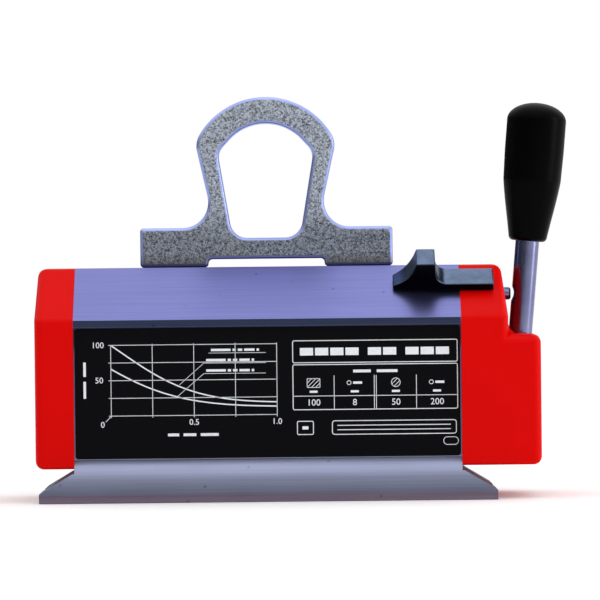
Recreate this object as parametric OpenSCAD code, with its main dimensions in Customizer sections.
// Hand-switched permanent lifting magnet: two steel poles round a turning magnet rotor,
// a forged shackle on the ridge, a swinging lever and a thumb-operated lock pin.
// +X runs along the body towards the lever, +Z is up, and the origin is the middle of
// the contact plane under the two pole feet.

/* [Pole body] */
// Length of the steel body between its end faces
body_l = 194; // [190:1:240]
// Height of the flat ridge above the contact plane
ridge_z = 117; // [115:1:130]
// Width of the flat ridge between the two roof slopes
ridge_w = 24; // [22:1:28]
// Width of the body over the lower edges of the roof
roof_w = 84; // [84:1:100]
// Height of the lower edge of the roof
eave_z = 91; // [89:0.5:93]
// Depth of the edge strip under the roof
eave_h = 3.5; // [2:0.5:5]
// Width of the body over its two label faces
face_w = 78; // [76:1:82]
// Length of the feet at the contact plane
foot_l = 229; // [220:1:280]
// Width over the two feet
foot_w = 96; // [90:1:120]
// Height of the upright edge of the feet
foot_edge_h = 3.5; // [2:0.5:5]

/* [Magnet rotor] */
// Height of the rotor axis above the contact plane
rotor_z = 47.5; // [47:0.5:50]
// Radius of the magnet rotor
rotor_r = 27; // [22:0.5:28]
// Air gap between the rotor and the bore of the poles
rotor_gap = 0.4; // [0.3:0.1:0.6]
// Thickness of the magnet stack across the rotor
magnet_t = 16; // [10:1:18]
// Number of magnet blocks along the rotor
magnet_count = 4; // [2:1:6]
// Radius of the journals and the lever shaft
journal_r = 10; // [8:0.5:11]
// Running clearance of the journals in their bushes
journal_clear = 0.03; // [0.02:0.01:0.08]

/* [End caps] */
// Thickness of the steel end plates
plate_t = 8; // [6:0.5:9]
// Wall thickness of the moulded caps
cap_wall = 3; // [2.5:0.1:3.5]
// Length of the left cap beyond the body at its widest height
left_cap_l = 19.5; // [19:0.5:26]
// Length of the right cap beyond the body at its widest height
right_cap_l = 23.8; // [23:0.1:24]
// Length of the lever housing beyond the body
housing_l = 40; // [40:0.5:46]
// Height of the top of the lever housing
housing_z = 82; // [80:0.2:84]

/* [Lever] */
// Distance of the lever axis beyond the body, at the height of the rotor axis
lever_x = 28.7; // [28.4:0.1:29.2]
// Outward lean of the lever in degrees
lever_lean = 4.95; // [4.4:0.05:5]
// Radius of the lever rod
rod_r = 6; // [5:0.1:6.2]
// Distance from the rotor axis to the lower end of the grip
grip_start = 81.4; // [78:0.1:100]
// Length of the grip
grip_l = 70.4; // [60:0.2:90]
// Largest radius of the grip
grip_r = 15; // [13:0.5:16]

/* [Lock] */
// Height of the lock pin above the contact plane
lock_z = 102.1; // [101.5:0.1:104]
// Radius of the lock pin
lock_r = 4.5; // [4:0.1:5]
// Gap between the withdrawn pin and the lever rod
lock_gap = 0.6; // [0.4:0.1:1]
// Travel of the pin from withdrawn to locked
lock_in = 3; // [2:0.1:3]
// Further travel of the pin when the thumb slide is pulled right back
lock_back = 1.5; // [0.5:0.1:2]

/* [Shackle] */
// Length of the shackle foot
shackle_l = 128; // [120:1:130]
// Height of the shackle foot
shackle_foot_h = 20; // [18:0.5:21]
// Thickness of the shackle
shackle_t = 16; // [12:0.5:20]
// Height of the top of the shackle above the ridge
shackle_h = 86; // [84:0.5:100]
// Radius of the shackle screws
shackle_screw_r = 4; // [3:0.5:4.5]

/* [Hidden] */
$fn = 64;

STEEL = "#8f90a8";
BRIGHT = "#b9bcc6";
BRONZE = "#b08d57";
RED = "#d80000";
BLACK = "#151515";

big = 400;
end_x = body_l / 2;
plate_x = end_x + plate_t;
roof_angle = atan((ridge_z - eave_z) / ((roof_w - ridge_w) / 2));
bore_r = rotor_r + rotor_gap;

// Pole section
label_t = 0.8;
label_edge = 0.6;
seat_hw = face_w / 2 - label_t;
label_z0 = foot_edge_h + 17.5;
label_z1 = eave_z - eave_h;
foot_rise_z = foot_edge_h + 11;
foot_end_z = 4.6;
foot_flare = 1;
keel_hw = 10;
keel_z0 = 5;
keel_z1 = rotor_z - bore_r - 0.6;
groove_chamfer = 6;
flange_hw = ridge_w / 2 + 4;
flange_z0 = eave_z - 5;
flange_h = 6;
ridge_bar_z0 = rotor_z + bore_r + 3.1;

// End plates, caps and their screws
plate_gap = 0.3;
plate_screw_r = 3;
plate_screw_head_r = 5;
plate_screw_head_h = 3.5;
plate_screw_depth = 12;
upper_plate_screw = [29, rotor_z + 28.5];
lower_plate_screw = [31, rotor_z - 10];
cap_lift = 2.3;
cap_z0 = foot_rise_z + cap_lift;
cap_round = 4.5;
left_cap_slope = 1;
right_cap_slope = 2.5;
cap_screw_r = 2;
cap_screw_head_r = 3.8;
cap_screw_head_h = 2.6;
cap_screw_l = plate_t + 4;
cap_seat_x = plate_x + 5;
cap_boss_r = 6.5;
upper_cap_screw = [24, ridge_z - 24];
lower_cap_screw = [28, cap_z0 + 8.2];
housing_round = 5;
housing_front_r = 6;
housing_rear_r = 28;
housing_fillet_r = 6;
housing_x = end_x + housing_l;
swing_clear = 0.8;

// Rotor and bearings
flange_t = 6;
washer_t = 1;
bush_rim_t = 1.5;
end_float = 0.3;
rim_x = end_x - bush_rim_t;
rotor_flange_x = rim_x - washer_t - 2 * end_float;
segment_x = rotor_flange_x - flange_t;
bush_r = journal_r + 3;
bush_rim_r = journal_r + 7;
seal_t = 3;
seal_gap = 0.3;
rotor_screw_r = 2.5;
rotor_screw_l = 13;
rotor_screw_head_h = 2.8;
rotor_screw_seat = 3;
rotor_screw_pos = [magnet_t / 2 + 7, 9];

// Lever
axis_x = end_x + lever_x;
// How far up the rod the housing reaches when the lever is level, and the room beside it there
swing_reach = 43.4;
swing_side = 0.3;
swing_x1 = axis_x + swing_reach * tan(lever_lean) + rod_r / cos(lever_lean) + swing_side;
housing_wall = min(1.2, housing_x - swing_x1);
hub_r = 20;
hub_x0 = plate_x + 8;
hub_x1 = housing_x - 3.5;
hub_boss_r = rod_r + 0.8;
hub_boss_l = 26;
hub_wall = 2.5;
hub_nose_r = 8;
shaft_x1 = hub_x1 - hub_wall;
nose_x = housing_x - 0.3;
hub_screw_r = 3;
hub_screw_head_r = 6.5;
hub_screw_head_h = 1.8;
hub_screw_l = nose_x - shaft_x1 + 13;
thread_r = rod_r - 1;
thread_start = journal_r + 1.5;
key_w = 4;
grip_neck_r = grip_r - 5.2;
grip_rim_r = 2.5;
grip_taper_l = 27;
grip_dome_h = 9;
insert_r = 8;
insert_start = grip_start + 13.6;
insert_l = 23;
grub_r = 2.5;
grub_h = journal_r + 6;
grub_x1 = axis_x + grub_h * tan(lever_lean) - (thread_r + 0.2) / cos(lever_lean);
slot_x0 = axis_x - rod_r + 1.9;

// Lock
flank_x = axis_x + (lock_z - rotor_z) * tan(lever_lean) - rod_r / cos(lever_lean);
pin_nose_r = lock_r - 1.2;
pin_nose_l = 8;
pin_tip = 0.8;
pin_x1 = flank_x - lock_gap;
pin_x0 = end_x - 31;
pin_tail_r = 2;
pin_tail_l = 7;
pin_recess_spare = 0.8;
lock_bore_r = lock_r + 0.4;
lock_bore_x = pin_x0 - 10;
lock_fit = 0.05;
guide_r = lock_r + 2;
stud_r = 2.5;
stud_x = end_x - 9;
stud_sink = 3.2;
stud_clear = 0.4;
slide_s0 = 8.5;
slide_w = 12.2;
slide_n0 = 0.5;
slide_t = 4.6;
slide_x0 = end_x - 33.6;
slide_fillet_r = 6.5;
lobe_n = 18.3;
lobe_x0 = end_x - 21.6;
lobe_x1 = end_x - 13;
arm_x1 = end_x + 17;

// Shackle, heights measured from the ridge
shackle_screw_x = shackle_l / 2 - 17;
shackle_washer_r = 6.8;
shackle_washer_t = 1.6;
shackle_head_h = 8;
shackle_thread_l = 13;
screw_pocket_z = ridge_z - 29;
shackle_screw_l = ridge_z + shackle_thread_l - 1 - screw_pocket_z + shackle_washer_t;

// Points of a circular arc about c from angle a0 to a1
function arc(c, r, a0, a1, n = 12) =
    [for (i = [0:n]) let (a = a0 + (a1 - a0) * i / n) c + r * [cos(a), sin(a)]];

// Points of a quadratic curve from p to r, drawn towards q
function bend(p, q, r, n = 10) =
    [for (i = [0:n]) let (t = i / n) (1 - t) * (1 - t) * p + 2 * t * (1 - t) * q + t * t * r];

// A half outline, listed from the top down, together with its mirror image
function both(half) =
    concat(half, [for (i = [len(half) - 1:-1:0]) [-half[i][0], half[i][1]]]);

// Section of a cap, inset by d: ridge, two roof slopes and upright sides
function cap_section(d) = both([
    [ridge_w / 2 - d * tan(roof_angle / 2), ridge_z - d],
    [roof_w / 2 - d, eave_z - d * (1 - sin(roof_angle)) / cos(roof_angle)],
    [roof_w / 2 - d, cap_z0 + d]]);

// Section of the lever housing, inset by d: square at the front, and round at the rear,
// where the lever swings over it
function housing_section(d) = concat(
    arc([roof_w / 2 - housing_rear_r, housing_z - housing_rear_r], housing_rear_r - d, 0, 90),
    arc([housing_front_r - roof_w / 2, housing_z - housing_front_r], housing_front_r - d, 90, 180, 6),
    [[d - roof_w / 2, cap_z0 + d], [roof_w / 2 - d, cap_z0 + d]]);

// Sketch of Y and Z drawn out along X from x0 to x1
module along_x(x0, x1) translate([x0, 0, 0]) rotate([90, 0, 90]) linear_extrude(x1 - x0) children();

// Sketch of X and Z drawn out across Y, w wide
module across_y(w) rotate([90, 0, 0]) linear_extrude(w, center = true) children();

// Round bar along X
module bar_x(r, x0, x1, y = 0, z = 0) translate([x0, y, z]) rotate([0, 90, 0]) cylinder(r = r, h = x1 - x0);

// Bar about the rotor axis
module rotor_bar(r, x0, x1) bar_x(r, x0, x1, 0, rotor_z);

// Ring about the rotor axis
module rotor_ring(r, hole, x0, x1) difference() {
    rotor_bar(r, x0, x1);
    rotor_bar(hole, x0 - 1, x1 + 1);
}

// Local +Z runs up the leaning lever from the rotor axis
module on_lever() translate([axis_x, 0, rotor_z]) rotate([0, lever_lean, 0]) children();

// Local -Y runs down the front roof slope from the ridge edge and +Z stands off it
module on_roof() translate([0, -ridge_w / 2, ridge_z]) rotate([roof_angle, 0, 0]) children();

// Screw along X with its head on the side of positive X
module screw_x(r, head_r, seat, l, head_h, y = 0, z = 0) {
    bar_x(r, seat - l, seat, y, z);
    bar_x(head_r, seat, seat + head_h, y, z);
}

// Children at the four places given by an upper and a lower position
module at_four(upper, lower) for (s = [-1, 1], p = [upper, lower])
    translate([0, s * p[0], p[1]]) children();

// Children at both ends of the body
module both_ends() {
    children();
    mirror([1, 0, 0]) children();
}

// Poles, bars and labels

// Curve of a foot in Y and Z, from under the label out to the upright edge
function foot_curve() = concat(
    bend([face_w / 2, label_z0], [foot_w / 2 - 1.5, foot_edge_h + 12], [foot_w / 2, foot_edge_h], 8),
    [[foot_w / 2, 0]]);

module body_section() polygon(both(concat([
    [ridge_w / 2, ridge_z], [roof_w / 2, eave_z], [roof_w / 2, label_z1], [seat_hw, label_z1],
    [seat_hw, label_z0]], foot_curve())));

module ridge_bar_section(z0) polygon(both([
    [ridge_w / 2, ridge_z], [ridge_w / 2, flange_z0 + flange_h], [flange_hw, flange_z0 + flange_h],
    [flange_hw, flange_z0], [ridge_w / 2, flange_z0], [ridge_w / 2, z0]]));

module feet() intersection() {
    along_x(-big, big) polygon(both(foot_curve()));
    across_y(big) polygon(both([
        [end_x + foot_flare, foot_rise_z], [foot_l / 2, foot_end_z], [foot_l / 2, 0]]));
}

module pole(side) difference() {
    intersection() {
        union() {
            along_x(-end_x, end_x) body_section();
            feet();
        }
        translate([-big / 2, side > 0 ? 0 : -big, -1]) cube([big, big, big]);
    }
    along_x(-big, big) ridge_bar_section(rotor_z);
    along_x(-big, big) polygon(both([[keel_hw, rotor_z], [keel_hw, groove_chamfer],
        [keel_hw + groove_chamfer, 0], [keel_hw + groove_chamfer, -1]]));
    rotor_bar(bore_r, -big / 2, big / 2);
    both_ends() at_four(upper_plate_screw, lower_plate_screw) 
        bar_x(plate_screw_r, end_x - plate_screw_depth - 8, end_x + 1);
    stud_slot();
}

// Direction of the link stud, from the pin axis up to the middle of the thumb slide's arm
stud_end = [0, -ridge_w / 2, ridge_z] + (slide_s0 + slide_w / 2) * [0, -cos(roof_angle), -sin(roof_angle)]
    + stud_sink * [0, -sin(roof_angle), cos(roof_angle)];
stud_rise = stud_end[2] - lock_z;
stud_l = norm([stud_end[1], stud_rise]);
stud_tilt = atan2(-stud_end[1], stud_rise);

// Local +Z runs along the link stud from the pin axis
module on_stud() translate([stud_x, 0, lock_z]) rotate([stud_tilt, 0, 0]) children();

module stud_slot() on_stud() translate([-stud_r - stud_clear - lock_back, -stud_r - stud_clear, 0])
    cube([2 * (stud_r + stud_clear) + lock_back + lock_in, 2 * (stud_r + stud_clear), 2 * stud_l]);

module front_pole() color(STEEL) pole(-1);

module rear_pole() color(STEEL) pole(1);

module ridge_bar() color(STEEL) difference() {
    along_x(-end_x, end_x) ridge_bar_section(ridge_bar_z0);
    bar_x(lock_bore_r, lock_bore_x, end_x + 1, 0, lock_z);
    stud_slot();
    for (s = [-1, 1]) translate([s * shackle_screw_x, 0, ridge_bar_z0 - 1]) {
        cylinder(r = shackle_screw_r + 0.3, h = big);
        cylinder(r = shackle_washer_r + 0.2, h = screw_pocket_z - ridge_bar_z0 + 1);
    }
}

module keel_bar() color(BRIGHT)
    translate([-end_x, -keel_hw, keel_z0]) cube([body_l, 2 * keel_hw, keel_z1 - keel_z0]);

module label(y0) translate([-end_x + label_edge, y0, label_z0 + label_edge])
    cube([body_l - 2 * label_edge, label_t, label_z1 - label_z0 - 2 * label_edge]);

module front_label() color(BLACK) label(-seat_hw - label_t);

module rear_label() color(BLACK) label(seat_hw);

// End plates, caps, bushes and seal

module end_plate() difference() {
    along_x(end_x, plate_x) polygon(cap_section(cap_wall + plate_gap));
    rotor_bar(bush_r, end_x - 1, plate_x + 1);
    at_four(upper_plate_screw, lower_plate_screw) bar_x(plate_screw_r, end_x - 1, plate_x + 1);
    at_four(upper_cap_screw, lower_cap_screw) bar_x(cap_screw_r, end_x - 1, plate_x + 1);
}

module left_end_plate() color(BRIGHT) mirror([1, 0, 0]) end_plate();

module right_end_plate() color(BRIGHT) difference() {
    end_plate();
    rotor_bar(bush_r + 1, plate_x - seal_t, plate_x + 1);
    bar_x(guide_r, end_x - 1, plate_x + 1, 0, lock_z);
}

module end_plate_screws() color(BLACK) both_ends() at_four(upper_plate_screw, lower_plate_screw)
    screw_x(plate_screw_r, plate_screw_head_r, plate_x, plate_t + plate_screw_depth, plate_screw_head_h);

module bush(l) {
    rotor_ring(bush_r, journal_r + journal_clear, end_x, end_x + l);
    rotor_ring(bush_rim_r, journal_r + journal_clear, rim_x, end_x);
}

module left_bush() color(BRONZE) mirror([1, 0, 0]) bush(plate_t);

module right_bush() color(BRONZE) bush(plate_t - seal_t);

module shaft_seal() color(BLACK) rotor_ring(bush_r + 1, journal_r + seal_gap, plate_x - seal_t, plate_x);

// Cap boss that takes a screw, from the end plate to the end wall
module cap_boss(x1) at_four(upper_cap_screw, lower_cap_screw) bar_x(cap_boss_r, plate_x, x1);

// Screw holes with deep head pockets, open at the outer end
module cap_screw_holes() at_four(upper_cap_screw, lower_cap_screw) {
    bar_x(cap_screw_r + 0.3, plate_x - 1, big);
    bar_x(cap_screw_head_r + 0.5, cap_seat_x, big);
}

// Block along X whose outer end edges are rounded; section(d) insets its outline
module rounded_end(x0, x1, r, section) hull() {
    along_x(x0, x1 - r) polygon(section(0));
    for (a = [22.5:22.5:90])
        along_x(x1 - r, x1 - r + r * sin(a)) polygon(section(r * (1 - cos(a))));
}

// Everything below a plane that leans inwards from the eave to the ridge
module end_slope(l, slope) across_y(big) polygon([[0, 0], [end_x + l, 0], [end_x + l, eave_z],
    [end_x + l - slope, ridge_z], [end_x + l - slope, ridge_z + 1], [0, ridge_z + 1]]);

module cap_body(l, slope) difference() {
    intersection() {
        rounded_end(end_x, end_x + l, cap_round, function(d) cap_section(d));
        end_slope(l, slope);
    }
    intersection() {
        along_x(end_x - 1, end_x + l - cap_wall) polygon(cap_section(cap_wall));
        end_slope(l - cap_wall, slope);
    }
}

module left_cap() color(RED) mirror([1, 0, 0]) difference() {
    union() {
        cap_body(left_cap_l, left_cap_slope);
        intersection() {
            cap_boss(end_x + left_cap_l - 1);
            end_slope(left_cap_l - 1, left_cap_slope);
        }
    }
    cap_screw_holes();
}

module right_cap() color(RED) difference() {
    union() {
        cap_body(right_cap_l, right_cap_slope);
        rounded_end(plate_x, housing_x, housing_round, function(d) housing_section(d));
        housing_fillet();
    }
    difference() {
        along_x(end_x - 1, housing_x - housing_wall) polygon(housing_section(cap_wall));
        at_four([upper_cap_screw[0], -big], lower_cap_screw) bar_x(cap_boss_r, plate_x, big);
    }
    difference() {
        intersection() {
            along_x(end_x - 1, end_x + right_cap_l - cap_wall) polygon(cap_section(cap_wall));
            end_slope(right_cap_l - cap_wall, right_cap_slope);
        }
        cap_boss(big);
    }
    swing_slot();
    rotor_bar(hub_nose_r + 0.3, shaft_x1, big);
    bar_x(lock_bore_r + 0.1, plate_x, big, 0, lock_z);
    cap_screw_holes();
}

// Hollow fillet between the upper end wall and the top of the housing
module housing_fillet()
    translate([end_x + right_cap_l - 1, (housing_front_r - housing_rear_r) / 2, housing_z - 1])
    across_y(roof_w - housing_front_r - housing_rear_r)
    polygon(concat([[0, 0]], arc([1, 1] * (housing_fillet_r + 1), housing_fillet_r, 270, 180, 8)));

// Quarter-turn slot for the lever, from upright back to level
module swing_slot() translate([slot_x0, -rod_r - swing_clear, rotor_z - rod_r - swing_clear])
    cube([housing_x - housing_wall - slot_x0, big, big]);

module cap_screws() color(BRIGHT) both_ends() at_four(upper_cap_screw, lower_cap_screw)
    screw_x(cap_screw_r, cap_screw_head_r, cap_seat_x, cap_screw_l, cap_screw_head_h);

// Shackle, heights measured above the ridge

eye_r = 39;
shoulder_r = 12;
shoulder_hw = 35;
eye_z = shackle_h - eye_r;
shoulder_a = acos((shoulder_hw - shoulder_r) / (eye_r - shoulder_r));
shoulder_z = eye_z + (eye_r - shoulder_r) * sin(shoulder_a);
side_lean = 12.6;
fillet_r = 13;
fillet_z = shackle_foot_h + fillet_r;
side_x = shoulder_hw - shoulder_r * (1 - cos(side_lean));
side_drop = shoulder_z - shoulder_r * sin(side_lean) - fillet_z - fillet_r * sin(side_lean);
fillet_x = side_x - side_drop * tan(side_lean) + fillet_r * cos(side_lean);
foot_round = 2.5;
arch_hw = 29.5;
arch_h = 4;

function shackle_half() = concat(
    arc([0, eye_z], eye_r, 90, shoulder_a, 18),
    arc([shoulder_hw - shoulder_r, shoulder_z], shoulder_r, shoulder_a, -side_lean),
    arc([fillet_x, fillet_z], fillet_r, 180 - side_lean, 270),
    arc([shackle_l / 2 - foot_round, shackle_foot_h - foot_round], foot_round, 90, 0, 6),
    [[shackle_l / 2, 0], [arch_hw, 0]],
    arc([arch_hw - arch_h / 2, arch_h / 2], arch_h / 2, 0, 90, 6));

module eye_outline() hull() {
    intersection() {
        translate([0, eye_z + 0.6]) circle(r = eye_r - 14);
        translate([-big / 2, shoulder_z - 4.5]) square(big);
    }
    for (s = [-1, 1]) {
        translate([s * 15.8, shoulder_z - 5.5]) circle(r = 8);
        translate([s * 9.5, shackle_foot_h + 3.7]) circle(r = 9);
    }
}

module lifting_shackle() color(BRIGHT) difference() {
    translate([0, 0, ridge_z]) across_y(shackle_t) difference() {
        polygon(both(shackle_half()));
        eye_outline();
    }
    for (s = [-1, 1]) translate([s * shackle_screw_x, 0, ridge_z - 1])
        cylinder(r = shackle_screw_r, h = shackle_thread_l + 1);
}

// Socket head screws, put in from below through the ridge bar
module shackle_screws() color(BLACK) for (s = [-1, 1])
    translate([s * shackle_screw_x, 0, screw_pocket_z - shackle_washer_t]) {
        cylinder(r = shackle_screw_r, h = shackle_screw_l);
        translate([0, 0, -shackle_head_h]) difference() {
            cylinder(r = shackle_screw_r * 1.6, h = shackle_head_h);
            translate([0, 0, -1]) cylinder(r = shackle_screw_r * 0.85, h = shackle_head_h / 2 + 1, $fn = 6);
        }
    }

module shackle_washers() color(BRIGHT) for (s = [-1, 1])
    translate([s * shackle_screw_x, 0, screw_pocket_z - shackle_washer_t]) difference() {
        cylinder(r = shackle_washer_r, h = shackle_washer_t);
        translate([0, 0, -1]) cylinder(r = shackle_screw_r, h = shackle_washer_t + 2);
    }

// Rotor: two steel segments, the magnets between them, and flanges with journals

module rotor_segment(side) difference() {
    intersection() {
        rotor_bar(rotor_r, -segment_x, segment_x);
        translate([-big / 2, side > 0 ? magnet_t / 2 : -big - magnet_t / 2, 0]) cube([big, big, big]);
    }
    rotor_screw_holes(rotor_screw_r, rotor_flange_x - rotor_screw_seat - rotor_screw_l - 2, segment_x + 1);
}

// Four screw places on each rotor flange
module rotor_screw_holes(r, x0, x1) both_ends() for (y = [-1, 1], z = [-1, 1])
    bar_x(r, x0, x1, y * rotor_screw_pos[0], rotor_z + z * rotor_screw_pos[1]);

module front_rotor_segment() color(STEEL) rotor_segment(-1);

module rear_rotor_segment() color(STEEL) rotor_segment(1);

magnet_pitch = 2 * segment_x / magnet_count;
magnet_h = 2 * sqrt(rotor_r * rotor_r - magnet_t * magnet_t / 4) - 1.6;
magnet_gap = 0.4;

module rotor_magnets() color("#5f6068") for (i = [0:magnet_count - 1])
    translate([-segment_x + i * magnet_pitch + magnet_gap / 2, -magnet_t / 2, rotor_z - magnet_h / 2])
        cube([magnet_pitch - magnet_gap, magnet_t, magnet_h]);

module rotor_flange(tip_x) difference() {
    union() {
        rotor_bar(rotor_r, segment_x, rotor_flange_x);
        rotor_bar(journal_r, rotor_flange_x - 1, tip_x);
    }
    rotor_screw_holes(rotor_screw_r, segment_x - 1, rotor_flange_x + 1);
    rotor_screw_holes(rotor_screw_r * 1.8, rotor_flange_x - rotor_screw_seat, rotor_flange_x + 1);
}

module left_rotor_flange() color(BRIGHT) mirror([1, 0, 0]) rotor_flange(plate_x - 0.5);

module right_rotor_flange() color(BRIGHT) difference() {
    rotor_flange(shaft_x1);
    rotor_bar(hub_screw_r, nose_x - hub_screw_l - 1, shaft_x1 + 1);
    hub_key_block();
}

module rotor_screws() color(BLACK) both_ends() for (y = [-1, 1], z = [-1, 1])
    screw_x(rotor_screw_r, rotor_screw_r * 1.7, rotor_flange_x - rotor_screw_seat, rotor_screw_l,
        rotor_screw_head_h, y * rotor_screw_pos[0], rotor_z + z * rotor_screw_pos[1]);

module thrust_washer() rotor_ring(bush_rim_r, journal_r + end_float,
    rotor_flange_x + end_float, rotor_flange_x + end_float + washer_t);

module left_thrust_washer() color(BRONZE) mirror([1, 0, 0]) thrust_washer();

module right_thrust_washer() color(BRONZE) thrust_washer();

// Lever: hub, key, screws, rod and grip

module hub_key_block() translate([hub_x0 + 2, -key_w / 2, rotor_z - journal_r - key_w / 2])
    cube([shaft_x1 - hub_x0 - 6, key_w, key_w]);

module hub_key() color(BRIGHT) hub_key_block();

module lever_hub() color("#4a4b52") difference() {
    union() {
        rotor_bar(hub_r, hub_x0, hub_x1);
        rotor_bar(hub_nose_r, hub_x1 - 1, nose_x);
        on_lever() cylinder(r = hub_boss_r, h = hub_boss_l);
    }
    rotor_bar(journal_r, hub_x0 - 1, shaft_x1);
    rotor_bar(hub_screw_r, shaft_x1 - 1, nose_x + 1);
    on_lever() translate([0, 0, thread_start]) cylinder(r = thread_r, h = hub_boss_l);
    bar_x(grub_r, hub_x0 - 1, axis_x, 0, rotor_z + grub_h);
    hub_key_block();
}

// Domed head made by turning a circular arc about the screw axis
module hub_screw() color(BRIGHT) translate([nose_x, 0, rotor_z]) rotate([0, 90, 0]) {
    translate([0, 0, -hub_screw_l]) cylinder(r = hub_screw_r, h = hub_screw_l);
    rotate_extrude() polygon(concat([[0, 0]],
        [for (a = [0:15:90]) [hub_screw_head_r * cos(a), hub_screw_head_h * sin(a)]]));
}

module rod_grub_screw() color(BLACK) bar_x(grub_r, hub_x0 + 0.5, grub_x1, 0, rotor_z + grub_h);

module lever_rod() color(BRIGHT) difference() {
    on_lever() {
        translate([0, 0, thread_start + 0.3]) cylinder(r = thread_r, h = hub_boss_l - thread_start);
        translate([0, 0, hub_boss_l]) cylinder(r = rod_r, h = insert_start - hub_boss_l);
        translate([0, 0, insert_start - 1]) cylinder(r = thread_r, h = insert_l + 1);
    }
    bar_x(pin_nose_r + 0.4, end_x, flank_x + lock_in - lock_gap + pin_recess_spare, 0, lock_z);
}

module grip_insert() color(BRONZE) on_lever() translate([0, 0, insert_start]) difference() {
    cylinder(r = insert_r, h = insert_l);
    translate([0, 0, -1]) cylinder(r = thread_r, h = insert_l + 2);
}

// Grip outline from the lower rim, up the taper and over the dome
function grip_side() = concat(
    [[rod_r, 0]], arc([grip_neck_r - grip_rim_r, grip_rim_r], grip_rim_r, -90, 0, 6),
    [[grip_r - 0.6, grip_taper_l], [grip_r, grip_taper_l + 19], [grip_r, grip_l - grip_dome_h]],
    [for (a = [10:10:90]) [grip_r * cos(a), grip_l - grip_dome_h + grip_dome_h * sin(a)]]);

module lever_grip() color(BLACK) on_lever() difference() {
    translate([0, 0, grip_start]) rotate_extrude() polygon(concat([[0, 0]], grip_side()));
    translate([0, 0, grip_start - 1]) cylinder(r = rod_r, h = insert_start - grip_start + 1);
    translate([0, 0, insert_start]) cylinder(r = insert_r, h = insert_l);
}

// Lock: pin, spring, guide, link stud and thumb slide

module lock_pin() color(BRIGHT) difference() {
    union() {
        bar_x(lock_r, pin_x0, pin_x1 - pin_nose_l, 0, lock_z);
        bar_x(pin_nose_r, pin_x1 - pin_nose_l - 1, pin_x1 - pin_tip, 0, lock_z);
        bar_x(pin_tail_r, pin_x0 - pin_tail_l, pin_x0 + 1, 0, lock_z);
        translate([pin_x1 - pin_tip, 0, lock_z]) rotate([0, 90, 0])
            cylinder(r1 = pin_nose_r, r2 = pin_nose_r - pin_tip, h = pin_tip);
    }
    on_stud() cylinder(r = stud_r, h = stud_l);
}

module link_stud() color(BRIGHT) on_stud() cylinder(r = stud_r, h = stud_l);

module lock_guide_bush() color(BRONZE) difference() {
    bar_x(guide_r, end_x, plate_x, 0, lock_z);
    bar_x(lock_r + lock_fit, end_x - 1, plate_x + 1, 0, lock_z);
}

// Coil spring, one tube swept round a helix about the pin's tail
spring_turns = 4;
spring_wire_r = 0.6;
spring_coil_r = 3.4;
spring_x0 = lock_bore_x + spring_wire_r + 0.1;
spring_l = pin_x0 - lock_back - 0.4 - spring_wire_r - spring_x0;
ring_n = 8;
turn_n = 16;

function spring_point(i, k) = let (
    a = 360 * i / turn_n,
    b = 360 * k / ring_n,
    r = spring_coil_r + spring_wire_r * cos(b),
    x = spring_x0 + spring_l * i / (turn_n * spring_turns) + spring_wire_r * sin(b))
    [x, r * cos(a), lock_z + r * sin(a)];

// Corner numbers of one face of the tube, between rings i and i + 1
function spring_face(i, k) = let (a = i * ring_n, b = a + ring_n, next = (k + 1) % ring_n)
    [a + k, b + k, b + next, a + next];

module lock_spring() color(BRIGHT) polyhedron(
    points = [for (i = [0:turn_n * spring_turns], k = [0:ring_n - 1]) spring_point(i, k)],
    faces = concat([[for (k = [0:ring_n - 1]) k]],
        [[for (k = [ring_n - 1:-1:0]) turn_n * spring_turns * ring_n + k]],
        [for (i = [0:turn_n * spring_turns - 1], k = [0:ring_n - 1]) spring_face(i, k)]));

// Side outline of the thumb slide: left tip, hollow flank, lobe, fillet and arm
function slide_outline() = concat(
    [[slide_x0, slide_n0]],
    bend([slide_x0, slide_n0 + 2.5], [lobe_x0 - 3, slide_n0 + slide_t + 2], [lobe_x0 - 0.5, lobe_n - 1]),
    [[lobe_x0, lobe_n], [lobe_x1, lobe_n], [lobe_x1 + 0.5, lobe_n - 1]],
    arc([lobe_x1 + 0.5 + slide_fillet_r, slide_n0 + slide_t + slide_fillet_r], slide_fillet_r, 180, 270, 8),
    [[arm_x1 - 1, slide_n0 + slide_t], [arm_x1, slide_n0 + slide_t - 1], [arm_x1, slide_n0]]);

module thumb_slide() color("#55565e") difference() {
    on_roof() translate([0, -slide_s0 - slide_w / 2, 0]) across_y(slide_w) polygon(slide_outline());
    on_stud() cylinder(r = stud_r, h = stud_l);
}

front_pole();
rear_pole();
ridge_bar();
keel_bar();
left_end_plate();
right_end_plate();
end_plate_screws();
left_bush();
right_bush();
shaft_seal();
left_cap();
right_cap();
cap_screws();
lifting_shackle();
shackle_screws();
shackle_washers();
front_label();
rear_label();
lock_guide_bush();
lock_spring();
front_rotor_segment();
rear_rotor_segment();
rotor_magnets();
left_rotor_flange();
right_rotor_flange();
rotor_screws();
left_thrust_washer();
right_thrust_washer();
lever_hub();
hub_key();
hub_screw();
rod_grub_screw();
lever_rod();
grip_insert();
lever_grip();
lock_pin();
link_stud();
thumb_slide();
